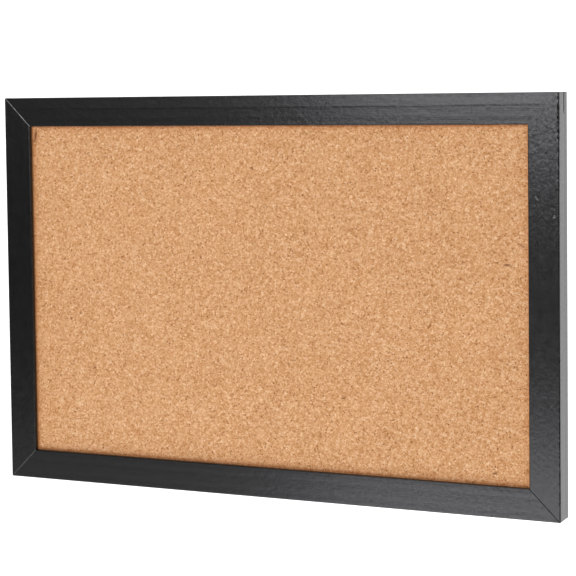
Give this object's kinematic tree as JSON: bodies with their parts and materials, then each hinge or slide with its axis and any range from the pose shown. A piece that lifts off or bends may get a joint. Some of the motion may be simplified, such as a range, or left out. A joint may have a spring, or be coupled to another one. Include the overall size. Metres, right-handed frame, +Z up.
{
  "type": "cork bulletin board",
  "caption": "Rectangular cork pin board with a mitred black wooden frame, laminated backing, swinging D-ring hangers and rubber wall bumpers.",
  "frame": {"origin": "centre of the frame's back plane, the side that faces the wall", "axes": "+X to the right as seen from the front, +Y towards the wall so that the cork faces -Y, +Z up"},
  "size_m": [0.45, 0.0244, 0.3],
  "materials": {
    "frame_paint": "satin black paint on planed wood",
    "cork": "matt fine agglomerated cork granules",
    "fibreboard": "matt soft wood fibre",
    "hardboard": "matt screen-backed hardboard",
    "spring_steel": "blued strip steel",
    "zinc_plated_steel": "bright zinc plate",
    "nickel_plated_wire": "polished nickel plate",
    "bumper_rubber": "matt moulded rubber"
  },
  "bodies": {
    "board": {"top_rail": "frame_paint", "right_stile": "frame_paint", "bottom_rail": "frame_paint", "left_stile": "frame_paint", "cork_sheet": "cork", "fibreboard_core": "fibreboard", "hardboard_back": "hardboard", "v_nails_top_left": "spring_steel", "v_nails_top_right": "spring_steel", "v_nails_bottom_right": "spring_steel", "v_nails_bottom_left": "spring_steel", "retaining_points_top": "zinc_plated_steel", "retaining_points_right": "zinc_plated_steel", "retaining_points_bottom": "zinc_plated_steel", "retaining_points_left": "zinc_plated_steel", "hanger_strap_left": "zinc_plated_steel", "hanger_screw_left": "zinc_plated_steel", "wall_bumper_left": "bumper_rubber", "hanger_strap_right": "zinc_plated_steel", "hanger_screw_right": "zinc_plated_steel", "wall_bumper_right": "bumper_rubber"},
    "ring_left": {"hanger_ring_left": "nickel_plated_wire"},
    "ring_right": {"hanger_ring_right": "nickel_plated_wire"}
  },
  "joints": [
    {"name": "hanger_ring_left_swing", "type": "hinge", "parent": "board", "child": "ring_left", "pos_m": [-0.213, 0.002, 0.075], "axis": [1, 0, 0], "range_deg": [0, 176.3]},
    {"name": "hanger_ring_right_swing", "type": "hinge", "parent": "board", "child": "ring_right", "pos_m": [0.213, 0.002, 0.075], "axis": [1, 0, 0], "range_deg": [0, 176.3]}
  ]
}
